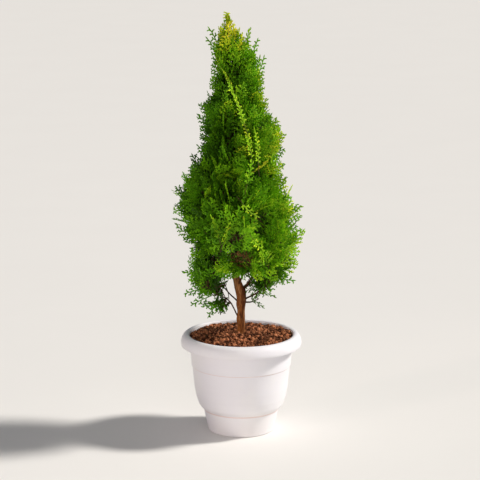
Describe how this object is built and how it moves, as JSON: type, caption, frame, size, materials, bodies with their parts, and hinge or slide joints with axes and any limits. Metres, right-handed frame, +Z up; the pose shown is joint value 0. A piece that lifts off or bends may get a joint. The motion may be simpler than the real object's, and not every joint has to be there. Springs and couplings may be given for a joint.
{
  "type": "potted arborvitae",
  "caption": "Young upright conifer with dense upright sprays of scale leaves, growing on a thin woody stem from a round white plastic nursery pot filled with soil.",
  "frame": {"origin": "centre of the pot's flat underside, on the pot's own axis", "axes": "+Z up along the pot's axis, -Y the plant's front, +X its right as seen from the front"},
  "size_m": [0.1597, 0.1604, 0.522],
  "materials": {
    "pot": "satin",
    "soil": "matte",
    "bark": "matte",
    "foliage": "satin"
  },
  "bodies": {
    "root": {"bough_back_right": "bark", "bough_front": "bark", "bough_left_lower": "bark", "bough_left_upper": "bark", "bough_right_lower": "bark", "bough_right_upper": "bark", "foliage_back_1": "foliage", "foliage_back_2": "foliage", "foliage_back_3": "foliage", "foliage_back_left_1": "foliage", "foliage_back_left_2": "foliage", "foliage_back_left_3": "foliage", "foliage_back_left_4": "foliage", "foliage_back_right_1": "foliage", "foliage_back_right_2": "foliage", "foliage_back_right_3": "foliage", "foliage_front_1": "foliage", "foliage_front_2": "foliage", "foliage_front_3": "foliage", "foliage_front_left_1": "foliage", "foliage_front_left_2": "foliage", "foliage_front_left_3": "foliage", "foliage_front_right_1": "foliage", "foliage_front_right_2": "foliage", "foliage_leader": "foliage", "foliage_left_1": "foliage", "foliage_left_2": "foliage", "foliage_left_3": "foliage", "foliage_low_left": "foliage", "foliage_low_right": "foliage", "foliage_right_1": "foliage", "foliage_right_2": "foliage", "foliage_right_3": "foliage", "foliage_right_4": "foliage", "pot": "pot", "soil": "soil", "trunk": "bark"}
  },
  "joints": []
}
